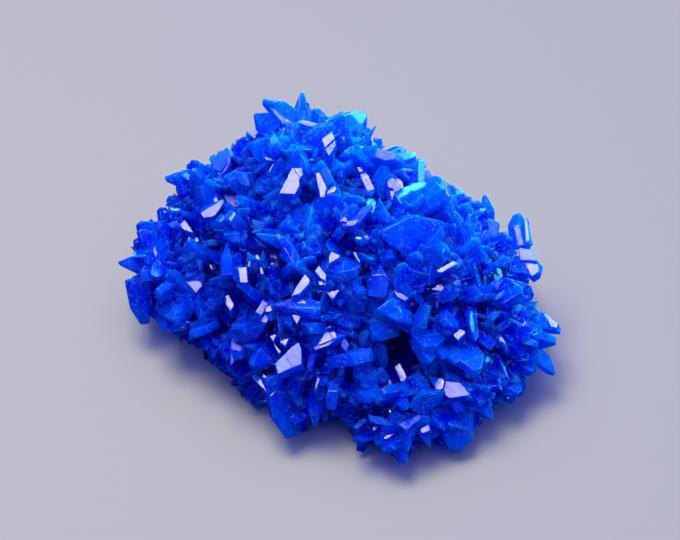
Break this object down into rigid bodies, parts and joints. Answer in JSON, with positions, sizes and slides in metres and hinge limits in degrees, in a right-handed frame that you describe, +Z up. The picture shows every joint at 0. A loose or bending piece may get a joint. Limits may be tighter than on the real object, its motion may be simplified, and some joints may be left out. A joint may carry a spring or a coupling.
{
  "type": "chalcanthite crystal cluster",
  "caption": "Loose cluster of intergrown deep-blue chalcanthite crystals, a lumpy rounded mass bristling with bladed crystals, broken flat underneath so that it rests.",
  "frame": {"origin": "on the flat broken underside, below the middle of the specimen", "axes": "+Z up from the underside, +X along the longest side, the pictured side towards -Y"},
  "size_m": [0.0928, 0.0745, 0.0469],
  "materials": {
    "chalcanthite": "gloss"
  },
  "bodies": {
    "root": {"crystal_cluster": "chalcanthite"}
  },
  "joints": []
}
